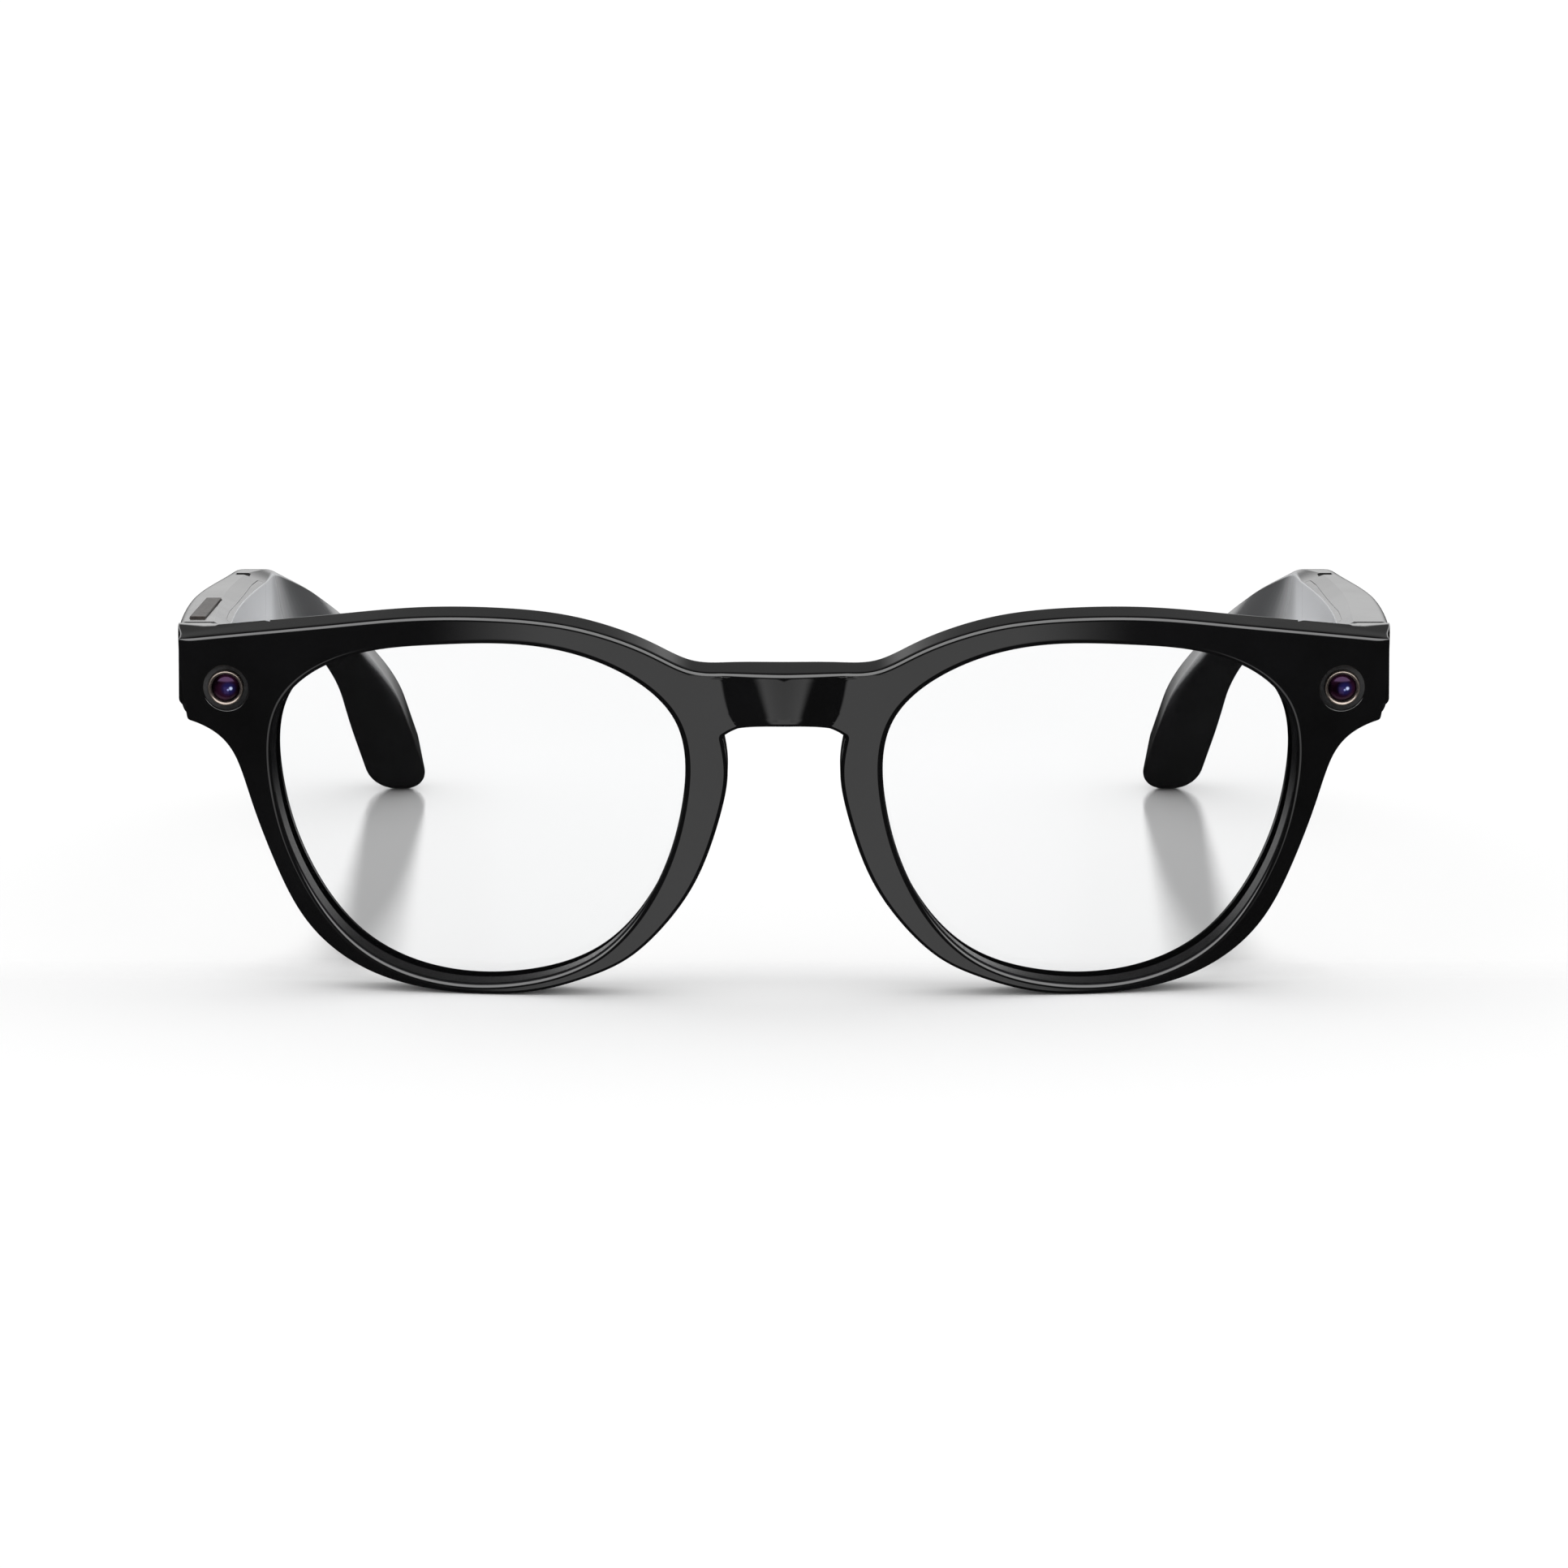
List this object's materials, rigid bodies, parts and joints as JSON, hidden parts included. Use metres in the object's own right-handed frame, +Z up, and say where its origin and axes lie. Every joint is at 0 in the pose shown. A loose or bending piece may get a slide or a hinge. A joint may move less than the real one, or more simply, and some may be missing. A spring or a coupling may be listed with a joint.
{
  "type": "smart glasses",
  "caption": "Wide black smart glasses with clear lenses, a camera in each front corner, folding temples with inner electronics, a capture button and a power slider.",
  "frame": {"origin": "centre of the resting footprint, on the surface that the rims and the temple tips stand on", "axes": "+Z up from that surface, -Y the way the lenses and cameras face, +X the wearer's left"},
  "size_m": [0.1448, 0.1384, 0.0454],
  "materials": {
    "battery": "foil pouch cell",
    "board": "circuit board with parts",
    "button": "satin grey-brown key",
    "camera_module": "black lens barrel and housing",
    "camera_trim": "thin satin grey-brown ring",
    "camera_window": "dark coated camera window",
    "contacts": "gold-plated contact",
    "cover_plastic": "polished black inner cover",
    "flex": "flexible printed circuit",
    "front_frame": "polished black injection-moulded frame",
    "grille": "dark perforated plate",
    "hinge_metal": "satin steel hinge",
    "led": "diffusing light pipe",
    "lens": "clear lens with a faint anti-reflection coating",
    "mic": "microphone can",
    "screw_metal": "small steel screw",
    "slider": "ribbed black slider",
    "speaker": "black speaker box",
    "switch": "switch housing",
    "temple_plastic": "polished black temple shell"
  },
  "bodies": {
    "front": {"front_frame": "front_frame", "lens_right": "lens", "lens_left": "lens", "camera_trim_right": "camera_trim", "camera_trim_left": "camera_trim", "camera_window_right": "camera_window", "camera_window_left": "camera_window", "camera_module_right": "camera_module", "camera_module_left": "camera_module", "camera_board_right": "board", "camera_board_left": "board", "front_flex": "flex", "charge_contacts": "contacts", "hinge_front_right": "hinge_metal", "hinge_front_left": "hinge_metal", "hinge_pin_right": "screw_metal", "hinge_pin_left": "screw_metal", "endpiece_cap_right": "front_frame", "endpiece_cap_left": "front_frame", "endpiece_screws": "screw_metal"},
    "temple_right": {"temple_shell_right": "temple_plastic", "temple_cover_right": "cover_plastic", "hinge_temple_right": "hinge_metal", "hinge_screws_right": "screw_metal", "main_board": "board", "touchpad_film": "flex", "speaker_right": "speaker", "speaker_grille_right": "grille", "top_vent_right": "grille", "microphone_right": "mic", "button_switch": "switch", "status_led": "led"},
    "temple_left": {"temple_shell_left": "temple_plastic", "temple_cover_left": "cover_plastic", "hinge_temple_left": "hinge_metal", "hinge_screws_left": "screw_metal", "battery": "battery", "power_board": "board", "speaker_left": "speaker", "speaker_grille_left": "grille", "top_vent_left": "grille", "microphone_left": "mic", "slide_switch": "switch"},
    "capture_button": {"capture_button": "button"},
    "power_switch": {"power_switch": "slider"}
  },
  "joints": [
    {"name": "right_temple_fold", "type": "hinge", "parent": "front", "child": "temple_right", "pos_m": [-0.0649, -0.0507, 0.03733], "axis": [0, -0.0866, -0.9962], "range_deg": [0, 64]},
    {"name": "left_temple_fold", "type": "hinge", "parent": "front", "child": "temple_left", "pos_m": [0.0649, -0.0507, 0.03733], "axis": [0, 0.0866, 0.9962], "range_deg": [0, 82]},
    {"name": "capture_button_press", "type": "slide", "parent": "temple_right", "child": "capture_button", "axis": [0, -0.0866, -0.9962], "range_m": [0, 0.0004], "stiffness_N_per_m": 1200},
    {"name": "power_switch_slide", "type": "slide", "parent": "temple_left", "child": "power_switch", "axis": [0, 0.9962, -0.0866], "range_m": [0, 0.003]}
  ]
}
